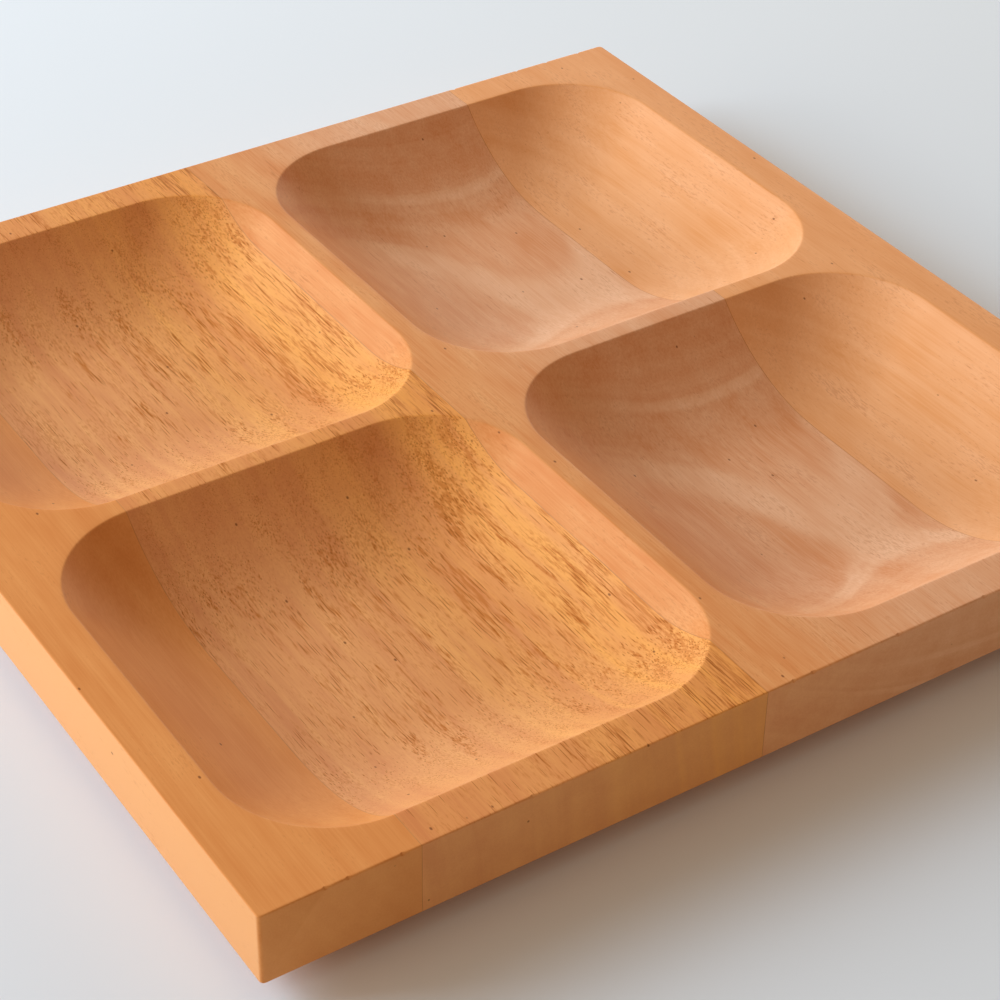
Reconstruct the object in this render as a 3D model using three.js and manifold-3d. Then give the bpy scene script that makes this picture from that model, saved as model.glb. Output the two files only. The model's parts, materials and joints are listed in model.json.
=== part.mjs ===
// A square serving tray: boards glued edge to edge into one thick panel, with four dished hollows cut in it.
import * as THREE from 'three';
import Module from 'manifold-3d';

const wasm = await Module();
wasm.setup();

// Panel, in millimetres: X runs across the boards, Y along the grain, Z up from the surface it stands on
const trayWidth = 300;
const trayLength = 300;
const dishDepth = 19.5;
const floorThickness = 8.5;
const panelCornerRadius = 1.5;
const arrisEase = 0.5;

// Bevel cut under the outer edge, which sets the base back and gives fingers a way to lift the tray
const undercutHeight = 7;
const undercutRun = 20;

// Dishes: square in plan with rounded corners, with a wall that sweeps down to a small flat floor
const dishColumns = 2;
const dishRows = 2;
const rimWidth = 12;
const dividerWidth = 6;
const dishCornerRadius = 30;
const dishFloorCornerRadius = 10;
const dishWallRun = 45;

// Boards: the panel is glued up from boards of one width, and trimmed so that its seams lie off centre
const boardWidth = 98;
const seamOffset = -10;
const glueThickness = 0.2;
const narrowestBoard = 15;

// Finishes: the wood differs from board to board, from left to right
const boardColours = ['#e08b42', '#dd9150', '#db935c', '#e79e62'];
const boardRoughness = 0.55;
const glueColour = '#9a6236';
const glueRoughness = 0.4;

// Fineness of the faceted surfaces, and how far a cutter runs past the wood
const cornerSteps = 10;
const wallSteps = 10;
const cutterOverrun = 5;

const panelThickness = dishDepth + floorThickness;
const panelSize = new THREE.Vector2(trayWidth, trayLength);

// Points of a rounded rectangle about the origin, anticlockwise, at one height
function rectangleRing(size, cornerRadius, z) {
  const centre = size.clone().multiplyScalar(0.5).subScalar(cornerRadius);
  const quadrants = [[1, 1], [-1, 1], [-1, -1], [1, -1]];
  return quadrants.flatMap(([sideX, sideY], quadrant) => {
    const arc = new THREE.EllipseCurve(
      sideX * centre.x, sideY * centre.y, cornerRadius, cornerRadius,
      quadrant * Math.PI / 2, (quadrant + 1) * Math.PI / 2);
    return arc.getPoints(cornerSteps).map((point) => new THREE.Vector3(point.x, point.y, z));
  });
}

function ringCentre(ring) {
  return new THREE.Box3().setFromPoints(ring).getCenter(new THREE.Vector3());
}

// A closed skin over rings of equally many points, listed from the lowest to the highest
function loft(rings) {
  const count = rings[0].length;
  const topRing = (rings.length - 1) * count;
  const points = [...rings.flat(), ringCentre(rings[0]), ringCentre(rings.at(-1))];
  const bottomCentre = points.length - 2;
  const topCentre = points.length - 1;
  const triangles = [];
  for (let i = 0; i < count; i++) {
    const next = (i + 1) % count;
    triangles.push(bottomCentre, next, i);
    triangles.push(topCentre, topRing + i, topRing + next);
    for (let ring = 0; ring < topRing; ring += count) {
      triangles.push(ring + i, ring + next, ring + count + next);
      triangles.push(ring + i, ring + count + next, ring + count + i);
    }
  }
  return new THREE.BufferGeometry().setFromPoints(points).setIndex(triangles);
}

// A solid that can be cut, and the way back to a geometry
function toSolid(geometry) {
  const vertProperties = new Float32Array(geometry.getAttribute('position').array);
  const triVerts = new Uint32Array(geometry.getIndex().array);
  return new wasm.Manifold(new wasm.Mesh({ numProp: 3, vertProperties, triVerts }));
}

function toGeometry(solid) {
  const { numProp, vertProperties, triVerts } = solid.getMesh();
  const geometry = new THREE.BufferGeometry();
  geometry.setAttribute('position', new THREE.BufferAttribute(vertProperties, numProp));
  geometry.setIndex(new THREE.BufferAttribute(triVerts, 1));
  geometry.computeVertexNormals();
  return geometry;
}

// The panel before it is dished: undercut, lower arris, upright faces and upper arris, from the base up
function panelBlank() {
  const levels = [
    { inset: undercutRun, z: 0 },
    { inset: arrisEase, z: undercutHeight },
    { inset: 0, z: undercutHeight + arrisEase },
    { inset: 0, z: panelThickness - arrisEase },
    { inset: arrisEase, z: panelThickness },
  ];
  const rings = levels.map(({ inset, z }) =>
    rectangleRing(panelSize.clone().subScalar(2 * inset), panelCornerRadius, z));
  return loft(rings);
}

// A dish's size at its rim: what the outer rim and the dividers leave
function dishSize() {
  const across = (trayWidth - 2 * rimWidth - (dishColumns - 1) * dividerWidth) / dishColumns;
  const along = (trayLength - 2 * rimWidth - (dishRows - 1) * dividerWidth) / dishRows;
  return new THREE.Vector2(across, along);
}

// The wood cut away for a dish: its wall is one arc in section, which runs out level into the floor
// and leaves the floor at least its rounded corners
function dishCutter(size) {
  const wallRun = Math.min(dishWallRun, Math.min(size.x, size.y) / 2 - dishFloorCornerRadius);
  const wallRadius = (wallRun ** 2 + dishDepth ** 2) / (2 * dishDepth);
  const rimAngle = Math.acos(1 - dishDepth / wallRadius);
  const rings = [];
  for (let step = 0; step <= wallSteps; step++) {
    const angle = rimAngle * step / wallSteps;
    const run = wallRadius * Math.sin(angle);
    const rise = wallRadius * (1 - Math.cos(angle));
    const cornerRadius = THREE.MathUtils.lerp(dishFloorCornerRadius, dishCornerRadius, run / wallRun);
    const ringSize = size.clone().subScalar(2 * (wallRun - run));
    rings.push(rectangleRing(ringSize, cornerRadius, floorThickness + rise));
  }
  rings.push(rectangleRing(size, dishCornerRadius, panelThickness + cutterOverrun));
  return loft(rings);
}

function dishedPanel() {
  const size = dishSize();
  const pitch = size.clone().addScalar(dividerWidth);
  let panel = toSolid(panelBlank());
  for (let row = 0; row < dishRows; row++) {
    for (let column = 0; column < dishColumns; column++) {
      const x = (column - (dishColumns - 1) / 2) * pitch.x;
      const y = (row - (dishRows - 1) / 2) * pitch.y;
      panel = panel.subtract(toSolid(dishCutter(size).translate(x, y, 0)));
    }
  }
  return panel;
}

// Seams repeat at the boards' width across the tray, and none leaves a sliver at an edge
function seamPlaces() {
  const reach = trayWidth / 2 - narrowestBoard;
  const first = Math.ceil((-reach - seamOffset) / boardWidth);
  const last = Math.floor((reach - seamOffset) / boardWidth);
  return Array.from({ length: last - first + 1 }, (_, i) => seamOffset + (first + i) * boardWidth);
}

// The slice of the panel between two upright planes across X
function slice(panel, left, right) {
  const reach = trayLength / 2 + cutterOverrun;
  const corners = [[left, -reach], [right, -reach], [right, reach], [left, reach]];
  const levels = [-cutterOverrun, panelThickness + cutterOverrun];
  const slab = loft(levels.map((z) => corners.map(([x, y]) => new THREE.Vector3(x, y, z))));
  return toGeometry(panel.intersect(toSolid(slab)));
}

function piece(name, geometry, color, roughness) {
  const material = new THREE.MeshStandardMaterial({ color, roughness, metalness: 0 });
  const mesh = new THREE.Mesh(geometry, material);
  mesh.name = name;
  return mesh;
}

function boardName(index, count) {
  if (index === 0) return 'left_edge_board';
  return index === count - 1 ? 'right_edge_board' : `inner_board_${index}`;
}

// Every board and every film of glue is cut from the same panel, so all their faces meet flush
function buildTray() {
  const tray = new THREE.Group();
  const panel = dishedPanel();
  const seams = seamPlaces();
  const halfGlue = glueThickness / 2;
  const edge = trayWidth / 2 + cutterOverrun;
  const lefts = [-edge, ...seams.map((x) => x + halfGlue)];
  const rights = [...seams.map((x) => x - halfGlue), edge];
  lefts.forEach((left, i) => {
    const colour = boardColours[i % boardColours.length];
    const geometry = slice(panel, left, rights[i]);
    tray.add(piece(boardName(i, lefts.length), geometry, colour, boardRoughness));
  });
  seams.forEach((x, i) => {
    const geometry = slice(panel, x - halfGlue, x + halfGlue);
    tray.add(piece(`glue_line_${i + 1}`, geometry, glueColour, glueRoughness));
  });
  return tray;
}

export default buildTray();
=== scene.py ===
"""A divided serving tray: four hardwood boards glued edge to edge, dished and oiled, on a pale floor."""
import json
import math

import bmesh
import bpy
from bpy.props import FloatProperty, FloatVectorProperty, IntProperty, PointerProperty
from mathutils import Matrix, Vector


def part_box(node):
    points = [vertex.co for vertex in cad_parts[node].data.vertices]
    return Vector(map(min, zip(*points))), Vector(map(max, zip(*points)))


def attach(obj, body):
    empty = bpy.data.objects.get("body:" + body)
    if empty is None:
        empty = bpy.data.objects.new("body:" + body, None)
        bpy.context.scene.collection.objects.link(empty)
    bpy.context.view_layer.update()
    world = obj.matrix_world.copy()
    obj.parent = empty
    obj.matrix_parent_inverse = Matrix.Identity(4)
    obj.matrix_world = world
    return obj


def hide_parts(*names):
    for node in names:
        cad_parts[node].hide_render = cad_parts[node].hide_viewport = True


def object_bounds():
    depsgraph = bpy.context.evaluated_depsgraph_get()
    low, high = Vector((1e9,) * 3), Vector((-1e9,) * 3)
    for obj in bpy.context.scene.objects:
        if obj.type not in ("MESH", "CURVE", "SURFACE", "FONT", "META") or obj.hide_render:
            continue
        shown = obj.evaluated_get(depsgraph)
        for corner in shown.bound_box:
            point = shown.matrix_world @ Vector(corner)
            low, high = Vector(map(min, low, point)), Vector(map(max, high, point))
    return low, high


bl_info = {
    "name": "Divided Wooden Tray",
    "version": (1, 0, 0),
    "blender": (4, 5, 0),
    "location": "3D View > Sidebar > Tray",
    "description": "Builds a dished tray of glued hardwood boards and a pale stage to show it on",
    "category": "Add Mesh",
}

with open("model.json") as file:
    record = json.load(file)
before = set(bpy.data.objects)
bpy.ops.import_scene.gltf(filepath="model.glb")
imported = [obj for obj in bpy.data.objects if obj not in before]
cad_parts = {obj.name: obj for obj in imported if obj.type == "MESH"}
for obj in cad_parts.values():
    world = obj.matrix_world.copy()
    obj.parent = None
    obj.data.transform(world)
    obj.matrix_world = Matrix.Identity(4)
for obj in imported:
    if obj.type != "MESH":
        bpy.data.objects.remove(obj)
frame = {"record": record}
cad_low, cad_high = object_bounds()

BODY = "root"
FRONT, BACK = -1, 1
MILLIMETRE = 0.001

# Where, across the tray, small nicks break the front and back top edges
NICKS = {
    FRONT: (-0.133, -0.127, -0.113, -0.078, -0.002, 0.004, 0.031, 0.059),
    BACK: (0.090, 0.115, 0.127, 0.140),
}
NICK_MARGIN = 0.05

# Sockets of the Mix node when it mixes colours
MIX_FACTOR, MIX_A, MIX_B, MIX_RESULT = 0, 6, 7, 2

# Wood in millimetres: fibres and pores run along Y, and each is drawn just wide enough to show
FIBRE_SIZE = (0.5, 20.0, 0.5)
MOTTLE_SIZE = (9.0, 30.0, 9.0)
WAVE_SIZE = (34.0, 90.0, 34.0)
STROKE_SIZE = (0.6, 8.0, 0.6)
FLECK_SIZE = (0.45, 2.5, 0.45)
PORE_CLUSTER_SIZE = (5.0, 40.0, 8.0)
DASH_CELL = (0.5, 15.0, 0.5)
SPECK_CELL = (8.0, 14.0, 8.0)
LAYER_LENGTH = 400.0
TOP_DEPTH = 0.3

# Heights in millimetres between which pale bands fade out up the board, and the part of a wave that is pale
BAND_TOP = 22.0
BAND_CORE = 12.0
BAND_START = 0.6

# Tone: how rough the patches are, and how far a pattern at full strength swings it about its middle
PATCH_ROUGHNESS = 0.6
TONE_MIDDLE = 0.5
TONE_SWING = 3.0

# How squarely a face has to cut the fibres to take the painted fill light, or lie along the outer edge to
# take the painted sheen
FILL_SHARPNESS = 3.0
SHEEN_SHARPNESS = 8.0

# Strokes and dashes: where they start, how soft they are, and how much open-grained wood adds to them
STROKE_START = 1.15
STROKE_REACH = 0.4
STROKE_SOFTNESS = 0.15
STROKE_CROWDING = 0.7
FLECK_WEIGHT = 0.6
DASH_START = 0.44
DASH_REACH = 0.6
DASH_SOFTNESS = 0.09
DASH_CROWDING = 0.45
ACROSS_CROWDING = 0.5

# Specks of gum, as parts of their cell and of full depth, and what an open pore does to the surface
SPECK_REACH = 0.05
SPECK_DEPTH = 0.8
PORE_BUMP = 0.15
PORE_BUMP_DEPTH = 0.0001
PORE_ROUGHNESS = 0.2

# Glue: streaks in millimetres, how far they swing its tone, and its surface
GLUE_STREAK = 6.0
GLUE_SWING = 0.25
GLUE_ROUGHNESS = 0.5
GLUE_GLOSS = 0.15

# Stage: the camera aims at a point on the top, from an offset, with a slight roll in degrees
FLOOR_ROUGHNESS = 0.8
WORLD_STRENGTH = 0.375
WORLD_TINT = (1.0, 0.8, 0.6)
LAMP_DISTANCE = 2.0
CAMERA_LENS = 94.3
CAMERA_SENSOR = 36.0
CAMERA_AIM = (-0.0224, -0.0508)
CAMERA_OFFSET = (-0.3077, -0.4610, 0.4132)
CAMERA_ROLL = 0.98


def linear(hexadecimal):
    """An sRGB hex colour as linear red, green and blue"""
    channels = [int(hexadecimal[i:i + 2], 16) / 255 for i in (1, 3, 5)]
    return [c / 12.92 if c <= 0.04045 else ((c + 0.055) / 1.055) ** 2.4 for c in channels]


def length(name, description, metres):
    return FloatProperty(name=name, description=description, default=metres, min=0, unit="LENGTH")


def share(name, description, value):
    return FloatProperty(
        name=name, description=description, default=value, min=0, max=1, subtype="FACTOR")


def colour(name, description, hexadecimal):
    return FloatVectorProperty(
        name=name, description=description, default=linear(hexadecimal), size=3, min=0, max=1,
        subtype="COLOR")


def angle(name, description, degrees):
    return FloatProperty(
        name=name, description=description, default=math.radians(degrees), unit="ROTATION")


class TraySizes(bpy.types.PropertyGroup):
    """Sizes of the panel and of the dishes cut in it"""

    undercut_height: length("Undercut height", "How far the bevel under the edge rises from the base", 0.007)
    undercut_run: length("Undercut run", "How far the bevel sets the base back from the edge", 0.020)
    corner_radius: length("Corner radius", "Rounding of the panel's four upright corners", 0.001)
    edge_ease: length("Edge ease", "Sanded rounding of the panel's long edges", 0.0004)
    rim_width: length("Rim width", "Flat top between the outer edge and a dish", 0.012)
    divider_width: length("Divider width", "Flat top between two dishes", 0.006)
    dish_depth: length("Dish depth", "From the top face down to the floor of a dish", 0.0195)
    dish_corner_radius: length("Dish corner radius", "Rounding of a dish's corners at its rim", 0.030)
    dish_wall_run: length("Dish wall run", "How far a dish's wall sweeps in from the rim to the floor", 0.045)
    rim_ease: length("Rim ease", "Sanded rounding of the edge where a dish meets the top", 0.0009)
    nick_width: length("Nick width", "Length of a nick along the top edge", 0.0018)
    nick_depth: length("Nick depth", "How far a nick reaches past the sanded rounding", 0.00035)


class FinenessSettings(bpy.types.PropertyGroup):
    """How many facets make the round surfaces"""

    corner_steps: IntProperty(
        name="Corner steps", description="Facets round a dish's corner", default=20, min=2)
    wall_steps: IntProperty(
        name="Wall steps", description="Facets down a dish's wall", default=40, min=2)
    ease_steps: IntProperty(
        name="Ease steps", description="Facets round a sanded edge", default=4, min=1)


class WoodLook:
    """What every board's wood has: its tones, the lie of its growth layers and its pores"""

    pale: colour("Pale wood", "Tone of the palest growth layers", "#e8a468")
    deep: colour("Deep wood", "Tone of the deepest growth layers", "#c8742f")
    side: colour("Left side", "Tint of the wood beside its left edge", "#ffffff")
    side_width: length("Left side width", "How far that tint reaches from the left edge", 0.045)
    stripe: colour("Right stripes", "Tint of the layers beside the right edge", "#ffffff")
    stripe_width: length("Right stripes width", "How far those stripes reach from the right edge", 0.075)
    stroke: colour("Strokes", "Tone of the lines that fine pores make together", "#b8682e")
    pore: colour("Pores", "Tone of single open pores", "#8e4814")
    speck: colour("Specks", "Tone of the specks of gum", "#7a4420")
    # Painted fill light: a paler tone on the faces at front and back
    end_grain: colour("End grain", "Tone where the surface cuts across the fibres", "#e6a668")
    # Painted sheen: a paler tone on the outer left and right faces, where the window is reflected
    edge: colour("Outer edge", "Tone of the upright edge planed along the fibres", "#eaa66c")
    top: colour("Top", "Tint of the flat top", "#fff4e0")
    seed: FloatProperty(name="Seed", description="Picks another piece of the same wood", default=0)
    layer_tilt: angle("Layer tilt", "0 for upright layers, seen as stripes; 90 for flat ones", 0)
    layer_rise: angle("Layer rise", "How the layers climb from front to back", 0)
    layer_heart: FloatProperty(
        name="Layer heart", description="Where, across the tray, curved layers lie lowest",
        default=0, unit="LENGTH")
    layer_bend: FloatProperty(
        name="Layer bend", description="How tightly the layers curve, as one over their radius in metres",
        default=0)
    layer_spacing: length("Layer spacing", "Distance between one broad layer and the next", 0.007)
    layer_wave: length("Layer wave", "How far the layers stray from flat", 0.002)
    layer_share: share("Layer strength", "How strongly the layers show", 0.5)
    band_height: length("Band height", "How deep in the layers a pale band lies", 0.0)
    band_spacing: length("Band spacing", "Distance from one pale band to the next", 0.0065)
    band_share: share("Band strength", "How strongly the pale bands show", 0.0)
    across_share: share("Change across", "How much paler and more open the wood gets to the right", 0.0)
    fibre_share: share("Fibre strength", "How strongly the fine fibres show", 0.25)
    mottle_share: share("Mottle strength", "How strongly soft patches of tone show", 0.3)
    stroke_share: share("Stroke amount", "How many long strokes show", 0.3)
    fleck_share: share("Fleck amount", "How many short strokes show", 0.5)
    stroke_depth: share("Stroke depth", "How deep in tone the strokes are", 0.5)
    dash_share: share("Dash amount", "How many single pores show, and how wide", 0.0)
    dash_depth: share("Dash depth", "How deep in tone the single pores are", 0.75)
    # How strongly the painted fill light shows on the faces at front and back
    end_share: share("End grain strength", "How strongly the end grain shows", 0.35)
    roughness: share("Roughness", "Roughness of the oiled surface between its pores", 0.5)
    gloss: share("Gloss", "Strength of the oil's reflection", 0.08)


class OrangeBrownWood(WoodLook, bpy.types.PropertyGroup):
    """The left edge board: dense, smooth and orange brown"""

    pale: colour("Pale wood", "Tone of the palest growth layers", "#eb9e5a")
    deep: colour("Deep wood", "Tone of the deepest growth layers", "#d6803e")
    top: colour("Top", "Tint of the flat top", "#fffcf8")
    seed: FloatProperty(name="Seed", description="Picks another piece of the same wood", default=3.7)
    layer_tilt: angle("Layer tilt", "0 for upright layers, seen as stripes; 90 for flat ones", 35)
    layer_share: share("Layer strength", "How strongly the layers show", 0.3)
    stroke_share: share("Stroke amount", "How many long strokes show", 0.0)
    fleck_share: share("Fleck amount", "How many short strokes show", 0.35)


class GoldenWood(WoodLook, bpy.types.PropertyGroup):
    """The first inner board: golden, striped and open-pored"""

    pale: colour("Pale wood", "Tone of the palest growth layers", "#f2ad6c")
    deep: colour("Deep wood", "Tone of the deepest growth layers", "#d98b57")
    seed: FloatProperty(name="Seed", description="Picks another piece of the same wood", default=11.3)
    layer_tilt: angle("Layer tilt", "0 for upright layers, seen as stripes; 90 for flat ones", 8)
    across_share: share("Change across", "How much paler and more open the wood gets to the right", 0.2)
    stroke_share: share("Stroke amount", "How many long strokes show", 0.6)
    fleck_share: share("Fleck amount", "How many short strokes show", 0.6)
    stroke_depth: share("Stroke depth", "How deep in tone the strokes are", 0.65)
    dash_share: share("Dash amount", "How many single pores show, and how wide", 0.62)
    stripe: colour("Right stripes", "Tint of the layers beside the right edge", "#fff0a8")
    stroke: colour("Strokes", "Tone of the lines that fine pores make together", "#c06c28")
    pore: colour("Pores", "Tone of single open pores", "#a05616")


class PinkTanWood(WoodLook, bpy.types.PropertyGroup):
    """The second inner board: pinkish tan, with flat layers that show as bands on the dish walls"""

    pale: colour("Pale wood", "Tone of the palest growth layers", "#eeb58a")
    deep: colour("Deep wood", "Tone of the deepest growth layers", "#d38148")
    # Partly the wood's own yellower tone beside the seam, partly painted warm shade on the shaded left walls
    # of the right dishes
    side: colour("Left side", "Tint of the wood beside its left edge", "#ffeec6")
    side_width: length("Left side width", "How far that tint reaches from the left edge", 0.06)
    # Painted fill light on this board's faces at front and back
    end_grain: colour("End grain", "Tone where the surface cuts across the fibres", "#f0bc90")
    top: colour("Top", "Tint of the flat top", "#ffffff")
    seed: FloatProperty(name="Seed", description="Picks another piece of the same wood", default=23.9)
    layer_tilt: angle("Layer tilt", "0 for upright layers, seen as stripes; 90 for flat ones", 90)
    layer_rise: angle("Layer rise", "How the layers climb from front to back", -3.7)
    layer_heart: FloatProperty(
        name="Layer heart", description="Where, across the tray, curved layers lie lowest",
        default=0.07, unit="LENGTH")
    layer_bend: FloatProperty(
        name="Layer bend", description="How tightly the layers curve, as one over their radius in metres",
        default=8)
    layer_spacing: length("Layer spacing", "Distance between one broad layer and the next", 0.003)
    layer_wave: length("Layer wave", "How far the layers stray from flat", 0.0008)
    layer_share: share("Layer strength", "How strongly the layers show", 0.22)
    band_height: length("Band height", "How deep in the layers a pale band lies", 0.0028)
    band_spacing: length("Band spacing", "Distance from one pale band to the next", 0.0085)
    band_share: share("Band strength", "How strongly the pale bands show", 0.3)


class PeachWood(WoodLook, bpy.types.PropertyGroup):
    """The right edge board: light, peach-coloured and fine"""

    pale: colour("Pale wood", "Tone of the palest growth layers", "#f4b380")
    deep: colour("Deep wood", "Tone of the deepest growth layers", "#e29557")
    seed: FloatProperty(name="Seed", description="Picks another piece of the same wood", default=31.1)
    layer_tilt: angle("Layer tilt", "0 for upright layers, seen as stripes; 90 for flat ones", 70)
    layer_spacing: length("Layer spacing", "Distance between one broad layer and the next", 0.004)
    layer_share: share("Layer strength", "How strongly the layers show", 0.3)
    stroke_share: share("Stroke amount", "How many long strokes show", 0.2)


class TrayFinish(bpy.types.PropertyGroup):
    """The wood of each board, from left to right, and the glue between them"""

    orange_brown_wood: PointerProperty(type=OrangeBrownWood)
    golden_wood: PointerProperty(type=GoldenWood)
    pink_tan_wood: PointerProperty(type=PinkTanWood)
    peach_wood: PointerProperty(type=PeachWood)
    glue: colour("Glue", "Tone of the cured glue in the seams", "#c98349")


class StageSettings(bpy.types.PropertyGroup):
    """The floor under the tray"""

    floor_colour: colour("Floor", "Tone of the pale floor", "#e6e6e6")
    floor_size: length("Floor size", "Side of the square floor", 6.0)


def add_node(tree, kind, inputs, **options):
    """Adds a node with its options, and links or sets its inputs"""
    node = tree.nodes.new(kind)
    for name, value in options.items():
        setattr(node, name, value)
    for name, value in inputs.items():
        if isinstance(value, bpy.types.NodeSocket):
            tree.links.new(value, node.inputs[name])
        else:
            node.inputs[name].default_value = value
    return node


def new_material(name):
    """An empty node material with its output"""
    material = bpy.data.materials.new(name)
    material.use_nodes = True
    material.node_tree.nodes.clear()
    return material, add_node(material.node_tree, "ShaderNodeOutputMaterial", {})


def per_size(size):
    """Texture scale that makes one feature about this size"""
    return [1 / s for s in size]


def patches(tree, place, size, seed, detail):
    """Soft random patches of about this size in millimetres, from 0 to 1"""
    scaled = add_node(tree, "ShaderNodeMapping", {
        "Vector": place, "Location": (seed, seed, seed), "Scale": per_size(size)})
    noise = add_node(tree, "ShaderNodeTexNoise", {
        "Vector": scaled.outputs["Vector"], "Scale": 1.0, "Detail": detail, "Roughness": PATCH_ROUGHNESS})
    return noise.outputs["Fac"]


def strokes(tree, place, size, seed, density, amount):
    """Fine broken lines along the grain, from 0 to 1, more of them where the wood is open-grained"""
    crowded = add_node(tree, "ShaderNodeMath", {
        0: density, 1: STROKE_CROWDING, 2: patches(tree, place, size, seed, detail=2.0)},
        operation="MULTIPLY_ADD")
    start = STROKE_START - STROKE_REACH * amount
    mask = add_node(tree, "ShaderNodeMapRange", {
        "Value": crowded.outputs["Value"], "From Min": start, "From Max": start + STROKE_SOFTNESS})
    return mask.outputs["Result"]


def dashes(tree, place, cell, density, amount):
    """Single open pores as thin dashes, at most one to a cell, from 0 to 1, wider in open-grained wood"""
    pore_place = add_node(tree, "ShaderNodeMapping", {"Vector": place, "Scale": per_size(cell)})
    spots = add_node(tree, "ShaderNodeTexVoronoi", {"Vector": pore_place.outputs["Vector"], "Scale": 1.0})
    radius = add_node(tree, "ShaderNodeMath", {
        0: density, 1: DASH_CROWDING, 2: DASH_REACH * amount - DASH_START},
        operation="MULTIPLY_ADD").outputs["Value"]
    outer = add_node(tree, "ShaderNodeMath", {0: radius, 1: DASH_SOFTNESS}, operation="ADD")
    mask = add_node(tree, "ShaderNodeMapRange", {
        "Value": spots.outputs["Distance"], "From Min": outer.outputs["Value"], "From Max": radius})
    return mask.outputs["Result"]


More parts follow.
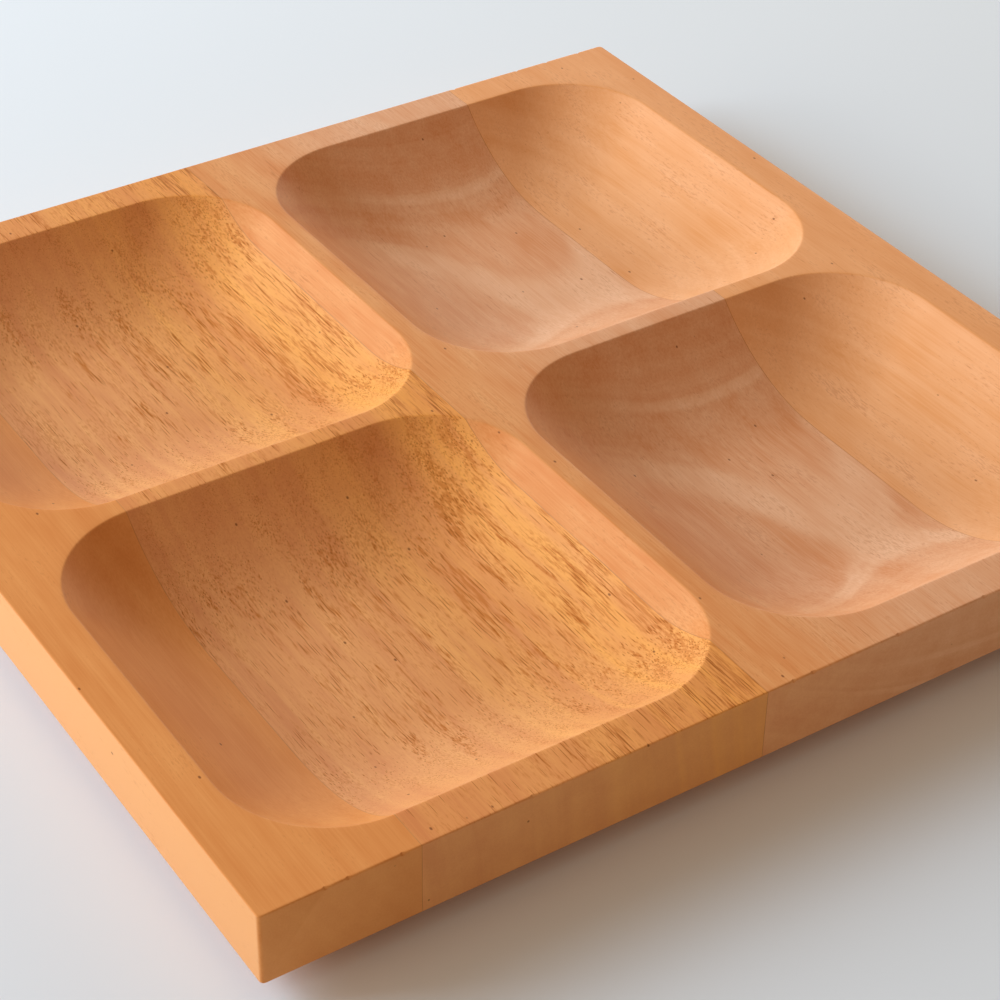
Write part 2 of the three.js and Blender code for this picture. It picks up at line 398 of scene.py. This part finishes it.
def hardwood(name, look, left, right):
    """Mahogany-like hardwood, dished, sanded and oiled: a satin surface whose growth layers show as stripes
    or bands, whose pores show as dark dashes along the grain and dots across it, over fine straight fibres"""
    material, output = new_material(f"oiled_{name}")
    tree = material.node_tree
    coordinates = add_node(tree, "ShaderNodeTexCoord", {})
    place = add_node(tree, "ShaderNodeMapping", {
        "Vector": coordinates.outputs["Object"], "Scale": [1 / MILLIMETRE] * 3}).outputs["Vector"]
    axes = add_node(tree, "ShaderNodeSeparateXYZ", {"Vector": place}).outputs

    # The depth of a point in the stack of growth layers, which stray a little from flat
    normal = (math.cos(look.layer_tilt), -math.tan(look.layer_rise), math.sin(look.layer_tilt))
    stack = add_node(tree, "ShaderNodeVectorMath", {0: place, 1: normal}, operation="DOT_PRODUCT")
    wave = patches(tree, place, WAVE_SIZE, look.seed, detail=1.0)
    aside = add_node(tree, "ShaderNodeMath", {
        0: axes["X"], 1: look.layer_heart / MILLIMETRE}, operation="SUBTRACT").outputs["Value"]
    bow = add_node(tree, "ShaderNodeMath", {0: aside, 1: aside}, operation="MULTIPLY")
    curved = add_node(tree, "ShaderNodeMath", {
        0: bow.outputs["Value"], 1: -look.layer_bend * MILLIMETRE / 2, 2: stack.outputs["Value"]},
        operation="MULTIPLY_ADD")
    depth = add_node(tree, "ShaderNodeMath", {
        0: wave, 1: 2 * look.layer_wave / MILLIMETRE, 2: curved.outputs["Value"]},
        operation="MULTIPLY_ADD").outputs["Value"]
    layer_place = add_node(tree, "ShaderNodeCombineXYZ", {"X": depth, "Y": axes["Y"]})
    layer_size = (look.layer_spacing / MILLIMETRE, LAYER_LENGTH, 1.0)
    layers = patches(tree, layer_place.outputs["Vector"], layer_size, look.seed, detail=3.0)

    # Pale bands at even depths in the stack, in the lower part of the board and away from its left edge
    turn = 2 * math.pi * MILLIMETRE / look.band_spacing
    phase = add_node(tree, "ShaderNodeMath", {
        0: depth, 1: turn, 2: math.pi / 2 - turn * (look.band_height + look.layer_wave) / MILLIMETRE},
        operation="MULTIPLY_ADD")
    near_left = add_node(tree, "ShaderNodeMapRange", {
        "Value": axes["X"], "From Min": (left + look.side_width) / MILLIMETRE,
        "From Max": left / MILLIMETRE}, interpolation_type="SMOOTHSTEP")
    away = add_node(tree, "ShaderNodeMapRange", {
        "Value": near_left.outputs["Result"], "To Min": look.band_share, "To Max": 0.0})
    swing = add_node(tree, "ShaderNodeMath", {0: phase.outputs["Value"]}, operation="SINE")
    buried = add_node(tree, "ShaderNodeMapRange", {
        "Value": axes["Z"], "From Min": BAND_TOP, "From Max": BAND_CORE,
        "To Max": away.outputs["Result"]}, interpolation_type="SMOOTHSTEP")
    bands = add_node(tree, "ShaderNodeMapRange", {
        "Value": swing.outputs["Value"], "From Min": BAND_START, "From Max": 1.0,
        "To Max": buried.outputs["Result"]}, interpolation_type="SMOOTHSTEP")

    # Tone from deep to pale: each pattern swings about a middle tone by its own strength
    across = add_node(tree, "ShaderNodeMapRange", {
        "Value": axes["X"], "From Min": left / MILLIMETRE, "From Max": right / MILLIMETRE,
        "To Min": -look.across_share, "To Max": look.across_share}).outputs["Result"]
    fibres = patches(tree, place, FIBRE_SIZE, look.seed, detail=2.0)
    mottle = patches(tree, place, MOTTLE_SIZE, look.seed, detail=2.0)
    tone = add_node(tree, "ShaderNodeMath", {
        0: bands.outputs["Result"], 1: across}, operation="ADD").outputs["Value"]
    middle = TONE_MIDDLE
    swings = ((layers, look.layer_share), (fibres, look.fibre_share), (mottle, look.mottle_share))
    for pattern, strength in swings:
        tone = add_node(tree, "ShaderNodeMath", {0: pattern, 1: TONE_SWING * strength, 2: tone},
                        operation="MULTIPLY_ADD").outputs["Value"]
        middle -= TONE_SWING / 2 * strength
    tone = add_node(tree, "ShaderNodeMath", {0: tone, 1: middle}, operation="ADD", use_clamp=True)
    wood = add_node(tree, "ShaderNodeMix", {
        MIX_FACTOR: tone.outputs["Value"], MIX_A: (*look.deep, 1), MIX_B: (*look.pale, 1)},
        data_type="RGBA")

    # Tints beside the seams: even at the left, partly the wood's own tone and partly painted warm shade on
    # the shaded dish walls it reaches, and in stripes along the layers at the right
    wood = add_node(tree, "ShaderNodeMix", {
        MIX_FACTOR: near_left.outputs["Result"], MIX_A: wood.outputs[MIX_RESULT], MIX_B: (*look.side, 1)},
        data_type="RGBA", blend_type="MULTIPLY")
    near_right = add_node(tree, "ShaderNodeMapRange", {
        "Value": axes["X"], "From Min": (right - look.stripe_width) / MILLIMETRE,
        "From Max": right / MILLIMETRE}, interpolation_type="SMOOTHSTEP")
    striped = add_node(tree, "ShaderNodeMath", {
        0: near_right.outputs["Result"], 1: layers}, operation="MULTIPLY")
    wood = add_node(tree, "ShaderNodeMix", {
        MIX_FACTOR: striped.outputs["Value"], MIX_A: wood.outputs[MIX_RESULT], MIX_B: (*look.stripe, 1)},
        data_type="RGBA", blend_type="MULTIPLY")

    # Faces cut straight across the fibres, at front and back, take a paler tone as painted fill light, the
    # outer left and right faces a paler tone as painted sheen, and the flat top a warm tint
    facing = add_node(tree, "ShaderNodeNewGeometry", {})
    facing_axes = add_node(tree, "ShaderNodeSeparateXYZ", {"Vector": facing.outputs["Normal"]})
    steep = add_node(tree, "ShaderNodeMath", {0: facing_axes.outputs["Y"], 1: 2.0}, operation="POWER")
    fill_facing = add_node(tree, "ShaderNodeMath", {
        0: steep.outputs["Value"], 1: FILL_SHARPNESS}, operation="POWER")
    end_share = add_node(tree, "ShaderNodeMath", {
        0: fill_facing.outputs["Value"], 1: look.end_share}, operation="MULTIPLY")
    # Mixes in the painted fill light on the faces at front and back
    sawn = add_node(tree, "ShaderNodeMix", {
        MIX_FACTOR: end_share.outputs["Value"], MIX_A: wood.outputs[MIX_RESULT], MIX_B: (*look.end_grain, 1)},
        data_type="RGBA")
    # Mixes in the painted sheen on the outer left and right faces
    sheen_facing = add_node(tree, "ShaderNodeMath", {
        0: facing_axes.outputs["X"], 1: SHEEN_SHARPNESS}, operation="POWER")
    sheened = add_node(tree, "ShaderNodeMix", {
        MIX_FACTOR: sheen_facing.outputs["Value"], MIX_A: sawn.outputs[MIX_RESULT], MIX_B: (*look.edge, 1)},
        data_type="RGBA")
    # The flat top is multiplied by a warm tint
    top = cad_high.z / MILLIMETRE
    on_top = add_node(tree, "ShaderNodeMapRange", {
        "Value": axes["Z"], "From Min": top - TOP_DEPTH, "From Max": top})
    top_tinted = add_node(tree, "ShaderNodeMix", {
        MIX_FACTOR: on_top.outputs["Result"], MIX_A: sheened.outputs[MIX_RESULT], MIX_B: (*look.top, 1)},
        data_type="RGBA", blend_type="MULTIPLY")

    # Open pores show as dashes over softer strokes, crowded in some layers, with short flecks everywhere
    cluster = add_node(tree, "ShaderNodeMath", {
        0: across, 1: ACROSS_CROWDING, 2: patches(tree, place, PORE_CLUSTER_SIZE, look.seed, detail=2.0)},
        operation="MULTIPLY_ADD").outputs["Value"]
    long_strokes = strokes(tree, place, STROKE_SIZE, look.seed, cluster, look.stroke_share)
    flecks = strokes(tree, place, FLECK_SIZE, look.seed, mottle, look.fleck_share)
    stroke_tone = add_node(tree, "ShaderNodeMath", {
        0: flecks, 1: FLECK_WEIGHT, 2: long_strokes}, operation="MULTIPLY_ADD")
    stroke_depth = add_node(tree, "ShaderNodeMapRange", {
        "Value": steep.outputs["Value"], "To Min": look.stroke_depth, "To Max": 0.0})
    stroke_factor = add_node(tree, "ShaderNodeMath", {
        0: stroke_tone.outputs["Value"], 1: stroke_depth.outputs["Result"]},
        operation="MULTIPLY", use_clamp=True)
    stroked = add_node(tree, "ShaderNodeMix", {
        MIX_FACTOR: stroke_factor.outputs["Value"], MIX_A: top_tinted.outputs[MIX_RESULT],
        MIX_B: (*look.stroke, 1)}, data_type="RGBA")
    pore = dashes(tree, place, DASH_CELL, cluster, look.dash_share)
    pore_depth = add_node(tree, "ShaderNodeMapRange", {
        "Value": steep.outputs["Value"], "To Min": look.dash_depth, "To Max": 0.0})
    pore_factor = add_node(tree, "ShaderNodeMath", {
        0: pore, 1: pore_depth.outputs["Result"]}, operation="MULTIPLY")
    pored = add_node(tree, "ShaderNodeMix", {
        MIX_FACTOR: pore_factor.outputs["Value"], MIX_A: stroked.outputs[MIX_RESULT], MIX_B: (*look.pore, 1)},
        data_type="RGBA")

    # A few specks of dark gum, far apart
    speck_place = add_node(tree, "ShaderNodeMapping", {"Vector": place, "Scale": per_size(SPECK_CELL)})
    specks = add_node(tree, "ShaderNodeTexVoronoi", {"Vector": speck_place.outputs["Vector"], "Scale": 1.0})
    speck = add_node(tree, "ShaderNodeMapRange", {
        "Value": specks.outputs["Distance"], "From Min": SPECK_REACH, "From Max": SPECK_REACH / 2,
        "To Max": SPECK_DEPTH})
    surface = add_node(tree, "ShaderNodeMix", {
        MIX_FACTOR: speck.outputs["Result"], MIX_A: pored.outputs[MIX_RESULT], MIX_B: (*look.speck, 1)},
        data_type="RGBA")

    # Pores are open, so they catch shade
    bump = add_node(tree, "ShaderNodeBump", {
        "Height": pore, "Strength": PORE_BUMP, "Distance": PORE_BUMP_DEPTH}, invert=True)
    roughness = add_node(tree, "ShaderNodeMapRange", {
        "Value": pore, "To Min": look.roughness, "To Max": look.roughness + PORE_ROUGHNESS})
    shader = add_node(tree, "ShaderNodeBsdfPrincipled", {
        "Base Color": surface.outputs[MIX_RESULT], "Roughness": roughness.outputs["Result"],
        "Specular IOR Level": look.gloss, "Normal": bump.outputs["Normal"]})
    tree.links.new(shader.outputs["BSDF"], output.inputs["Surface"])
    return material


def cured_glue(finish):
    """Cured wood glue, a thin amber film that shows as a hairline: sanded and oiled with the wood"""
    material, output = new_material("cured_glue")
    tree = material.node_tree
    coordinates = add_node(tree, "ShaderNodeTexCoord", {})
    streak_place = add_node(tree, "ShaderNodeMapping", {
        "Vector": coordinates.outputs["Object"], "Scale": [1 / MILLIMETRE / GLUE_STREAK] * 3})
    streaks = add_node(tree, "ShaderNodeTexNoise", {"Vector": streak_place.outputs["Vector"], "Scale": 1.0})
    tone = add_node(tree, "ShaderNodeMix", {
        MIX_FACTOR: streaks.outputs["Fac"], MIX_A: (*((1 - GLUE_SWING) * c for c in finish.glue), 1),
        MIX_B: (*((1 + GLUE_SWING) * c for c in finish.glue), 1)}, data_type="RGBA")
    shader = add_node(tree, "ShaderNodeBsdfPrincipled", {
        "Base Color": tone.outputs[MIX_RESULT], "Roughness": GLUE_ROUGHNESS,
        "Specular IOR Level": GLUE_GLOSS})
    tree.links.new(shader.outputs["BSDF"], output.inputs["Surface"])
    return material


def rounded_face(bm, width, span, radius, centre, steps):
    """One flat face with round corners: a square face stretched to size, with its corners bevelled"""
    verts = bmesh.ops.create_grid(bm, x_segments=1, y_segments=1, size=0.5)["verts"]
    bmesh.ops.scale(bm, vec=(width, span, 1), verts=verts)
    bmesh.ops.translate(bm, vec=centre, verts=verts)
    rounded = bmesh.ops.bevel(
        bm, geom=verts, offset=radius, offset_type="OFFSET", affect="VERTICES", segments=steps,
        profile=0.5, material=-1, clamp_overlap=False)
    return rounded["verts"][0].link_faces[0]


def sweep(bm, face, centre, width, span, profile):
    """Extrudes a face ring by ring along a profile of insets from its outline and heights"""
    around = Matrix.Translation(-Vector(centre))
    last = (width, span)
    for inset, z in profile:
        face = bmesh.ops.extrude_discrete_faces(bm, faces=[face])["faces"][0]
        ring = (width - 2 * inset, span - 2 * inset)
        bmesh.ops.scale(
            bm, vec=(ring[0] / last[0], ring[1] / last[1], 1), space=around, verts=face.verts)
        bmesh.ops.translate(bm, vec=(0, 0, z - face.verts[0].co.z), verts=face.verts)
        last = ring
    return face


def arc(inset, z, radius, start, end, steps):
    """Points of a round edge in section, as insets and heights, about a centre and between two angles"""
    angles = [start + (end - start) * i / steps for i in range(steps + 1)]
    return [(inset - radius * math.cos(a), z + radius * math.sin(a)) for a in angles]


def panel_profile(sizes, fineness, top):
    """The panel's outer section from the undercut's foot to the edge of the flat top"""
    ease = sizes.edge_ease
    slope = math.atan2(sizes.undercut_height, sizes.undercut_run)
    start = slope - math.pi / 2
    foot = ease - ease * math.cos(start)
    centre_z = (sizes.undercut_run - foot) * math.tan(slope) - ease * math.sin(start)
    lower = arc(ease, centre_z, ease, start, 0, fineness.ease_steps)
    upper = arc(ease, top - ease, ease, 0, math.pi / 2, fineness.ease_steps)
    return [*lower, *upper, (2 * ease, top)]


def dish_profile(sizes, fineness, top):
    """A dish's section from the flat top, over the eased rim and down its round wall to the floor"""
    run, drop, ease = sizes.dish_wall_run, sizes.dish_depth, sizes.rim_ease
    wall_radius = (run ** 2 + drop ** 2) / (2 * drop)
    rim_angle = math.asin(run / wall_radius)
    setback = ease * math.tan(rim_angle / 2)
    rim = arc(-setback, top - ease, ease, math.pi / 2, math.pi / 2 - rim_angle, fineness.ease_steps)
    rim = [(-2 * setback - inset, z) for inset, z in rim]
    first = math.asin((run - rim[-1][0]) / wall_radius)
    angles = [first * (1 - i / fineness.wall_steps) for i in range(1, fineness.wall_steps + 1)]
    wall = [(run - wall_radius * math.sin(a), top - drop + wall_radius * (1 - math.cos(a)))
            for a in angles]
    return [*rim, *wall]


def nick_edge(bm, sizes, side, places):
    """Breaks small nicks in the front or back top edge, where it pulls the rounding back to a facet"""
    _, reach, top = cad_high
    ease, nicked = sizes.edge_ease, sizes.edge_ease + sizes.nick_depth
    margin = NICK_MARGIN * ease

    def rounding():
        return [face for face in bm.faces if all(
            side * vert.co.y > reach - 2 * ease - margin and vert.co.z > top - ease - margin
            for vert in face.verts)]

    for place in places:
        for x in (place - sizes.nick_width / 2, place, place + sizes.nick_width / 2):
            faces = rounding()
            edges = {edge for face in faces for edge in face.edges}
            verts = {vert for face in faces for vert in face.verts}
            bmesh.ops.bisect_plane(
                bm, geom=[*verts, *edges, *faces], plane_co=(x, 0, 0), plane_no=(1, 0, 0))
        for vert in {vert for face in rounding() for vert in face.verts}:
            inset, drop = reach - side * vert.co.y, top - vert.co.z
            if abs(vert.co.x - place) < margin and inset < 2 * ease - margin:
                pull = nicked / (inset + drop)
                vert.co = (place, side * (reach - inset * pull), top - drop * pull)
                for edge in vert.link_edges:
                    edge.smooth = False


def panel_skin(sizes, fineness):
    """The whole dished panel as one closed skin, before it is sawn into boards"""
    bm = bmesh.new()
    width, span, top = cad_high - cad_low
    outline = panel_profile(sizes, fineness, top)
    inner = sizes.undercut_run
    base_size = (width - 2 * inner, span - 2 * inner)
    base = rounded_face(bm, *base_size, sizes.corner_radius, (0, 0, 0), fineness.ease_steps)
    base_edges = base.edges[:]
    top_face = sweep(bm, base, (0, 0, 0), *base_size, [(inset - inner, z) for inset, z in outline])
    for edge in base_edges:
        edge.smooth = False
    bmesh.ops.edgeloop_fill(bm, edges=base_edges)
    for side, places in NICKS.items():
        nick_edge(bm, sizes, side, places)
    rims = top_face.edges[:]
    bmesh.ops.delete(bm, geom=[top_face], context="FACES_ONLY")

    dish_width = (width - 2 * sizes.rim_width - sizes.divider_width) / 2
    dish_span = (span - 2 * sizes.rim_width - sizes.divider_width) / 2
    profile = dish_profile(sizes, fineness, top)
    margin = 2 * sizes.rim_ease
    mouth_size = (dish_width + 2 * margin, dish_span + 2 * margin)
    for side_x in (-1, 1):
        for side_y in (-1, 1):
            centre = (side_x * (dish_width + sizes.divider_width) / 2,
                      side_y * (dish_span + sizes.divider_width) / 2, top)
            mouth = rounded_face(
                bm, *mouth_size, sizes.dish_corner_radius + margin, centre, fineness.corner_steps)
            rims += mouth.edges[:]
            sweep(bm, mouth, centre, *mouth_size, [(inset + margin, z) for inset, z in profile])
    bmesh.ops.triangle_fill(bm, use_beauty=True, edges=rims, normal=(0, 0, 1))
    bmesh.ops.recalc_face_normals(bm, faces=bm.faces)
    for face in bm.faces:
        face.smooth = True
    return bm


def saw(bm, x, side):
    """Saws the skin at an upright plane across X, drops what lies on one side and closes the cut"""
    cut = bmesh.ops.bisect_plane(
        bm, geom=[*bm.verts, *bm.edges, *bm.faces], plane_co=(x, 0, 0), plane_no=(side, 0, 0),
        clear_outer=True)
    edges = [part for part in cut["geom_cut"] if isinstance(part, bmesh.types.BMEdge)]
    for edge in edges:
        edge.smooth = False
    bmesh.ops.edgeloop_fill(bm, edges=edges)


def add_slice(skin, node, slot, left, right, material):
    """One piece of the panel between two saw cuts, in place of its plain solid"""
    bm = skin.copy()
    if left > cad_low.x:
        saw(bm, left, -1)
    if right < cad_high.x:
        saw(bm, right, 1)
    bmesh.ops.recalc_face_normals(bm, faces=bm.faces)
    mesh = bpy.data.meshes.new(f"{node}.wood" if slot != "cured_glue" else f"{node}.film")
    bm.to_mesh(mesh)
    bm.free()
    piece = bpy.data.objects.new(mesh.name, mesh)
    bpy.context.scene.collection.objects.link(piece)
    mesh.materials.append(material)
    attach(piece, BODY)
    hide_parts(node)


def slots():
    """The record's material slot of each node"""
    return {part["node"]: part["material_slot"] for part in frame["record"]["subparts"]}


class TRAY_OT_boards(bpy.types.Operator):
    """Build the four boards, each sawn from the same dished panel"""

    bl_idname = "tray.boards"
    bl_label = "Build Boards"

    def execute(self, context):
        scene = context.scene
        skin = panel_skin(scene.tray_sizes, scene.tray_fineness)
        for node, slot in slots().items():
            if slot == "cured_glue":
                continue
            low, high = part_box(node)
            material = hardwood(slot, getattr(scene.tray_finish, slot), low.x, high.x)
            add_slice(skin, node, slot, low.x, high.x, material)
        skin.free()
        return {"FINISHED"}


class TRAY_OT_glue_lines(bpy.types.Operator):
    """Build the films of cured glue between the boards"""

    bl_idname = "tray.glue_lines"
    bl_label = "Build Glue Lines"

    def execute(self, context):
        scene = context.scene
        skin = panel_skin(scene.tray_sizes, scene.tray_fineness)
        material = cured_glue(scene.tray_finish)
        for node, slot in slots().items():
            if slot == "cured_glue":
                low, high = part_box(node)
                add_slice(skin, node, slot, low.x, high.x, material)
        skin.free()
        return {"FINISHED"}


def add_lamp(name, azimuth, elevation, size, watts, tint):
    """A soft rectangular lamp that faces the tray, at an angle round from +X and one up from the floor"""
    azimuth, elevation = math.radians(azimuth), math.radians(elevation)
    level = LAMP_DISTANCE * math.cos(elevation)
    lamp = bpy.data.lights.new(name, "AREA")
    lamp.shape = "RECTANGLE"
    lamp.size, lamp.size_y = size
    lamp.energy = watts
    lamp.color = tint
    placed = bpy.data.objects.new(name, lamp)
    placed.location = (
        level * math.cos(azimuth), level * math.sin(azimuth), LAMP_DISTANCE * math.sin(elevation))
    placed.rotation_euler = placed.location.to_track_quat("Z", "Y").to_euler()
    bpy.context.scene.collection.objects.link(placed)


class TRAY_OT_stage(bpy.types.Operator):
    """Build the pale floor, the soft lamps and the camera"""

    bl_idname = "tray.stage"
    bl_label = "Build Stage"

    def execute(self, context):
        scene = context.scene
        settings = scene.tray_stage
        scene.view_settings.view_transform = "Standard"

        material, output = new_material("painted_board_floor")
        shader = add_node(material.node_tree, "ShaderNodeBsdfPrincipled", {
            "Base Color": (*settings.floor_colour, 1), "Roughness": FLOOR_ROUGHNESS})
        material.node_tree.links.new(shader.outputs["BSDF"], output.inputs["Surface"])
        bm = bmesh.new()
        bmesh.ops.create_grid(bm, x_segments=1, y_segments=1, size=settings.floor_size / 2)
        mesh = bpy.data.meshes.new("floor")
        bm.to_mesh(mesh)
        bm.free()
        mesh.materials.append(material)
        floor = bpy.data.objects.new("floor", mesh)
        scene.collection.objects.link(floor)

        world = bpy.data.worlds.new("studio")
        world.use_nodes = True
        background = world.node_tree.nodes["Background"].inputs
        background["Strength"].default_value = WORLD_STRENGTH
        background["Color"].default_value = (*WORLD_TINT, 1)
        scene.world = world
        add_lamp("window", azimuth=135, elevation=28, size=(1.85, 0.85), watts=56, tint=(0.63, 0.81, 1.0))
        add_lamp("back_fill", azimuth=45, elevation=14, size=(2.0, 0.7), watts=17.5, tint=(0.86, 0.97, 1.0))
        add_lamp("left_fill", azimuth=168, elevation=16, size=(1.4, 0.6), watts=9.5, tint=(1.0, 0.94, 0.82))

        camera = bpy.data.cameras.new("camera")
        camera.lens = CAMERA_LENS
        camera.sensor_width = CAMERA_SENSOR
        view = bpy.data.objects.new("camera", camera)
        aim = Vector((*CAMERA_AIM, cad_high.z))
        view.location = aim + Vector(CAMERA_OFFSET)
        turn = (aim - view.location).to_track_quat("-Z", "Y").to_matrix().to_4x4()
        roll = Matrix.Rotation(math.radians(CAMERA_ROLL), 4, "Z")
        view.rotation_euler = (turn @ roll).to_euler()
        scene.collection.objects.link(view)
        scene.camera = view
        return {"FINISHED"}


class TRAY_PT_panel(bpy.types.Panel):
    """Lists the steps that build the tray"""

    bl_label = "Divided Wooden Tray"
    bl_space_type = "VIEW_3D"
    bl_region_type = "UI"
    bl_category = "Tray"

    def draw(self, context):
        for operator in OPERATORS:
            self.layout.operator(operator.bl_idname)


GROUPS = (TraySizes, FinenessSettings, OrangeBrownWood, GoldenWood, PinkTanWood, PeachWood, TrayFinish,
          StageSettings)
OPERATORS = (TRAY_OT_stage, TRAY_OT_boards, TRAY_OT_glue_lines)


def register():
    for cls in (*GROUPS, *OPERATORS, TRAY_PT_panel):
        bpy.utils.register_class(cls)
    bpy.types.Scene.tray_sizes = PointerProperty(type=TraySizes)
    bpy.types.Scene.tray_fineness = PointerProperty(type=FinenessSettings)
    bpy.types.Scene.tray_finish = PointerProperty(type=TrayFinish)
    bpy.types.Scene.tray_stage = PointerProperty(type=StageSettings)


def unregister():
    for name in ("tray_stage", "tray_finish", "tray_fineness", "tray_sizes"):
        delattr(bpy.types.Scene, name)
    for cls in reversed((*GROUPS, *OPERATORS, TRAY_PT_panel)):
        bpy.utils.unregister_class(cls)


def main():
    register()
    bpy.ops.tray.stage()
    bpy.ops.tray.boards()
    bpy.ops.tray.glue_lines()


if __name__ == "__main__":
    main()
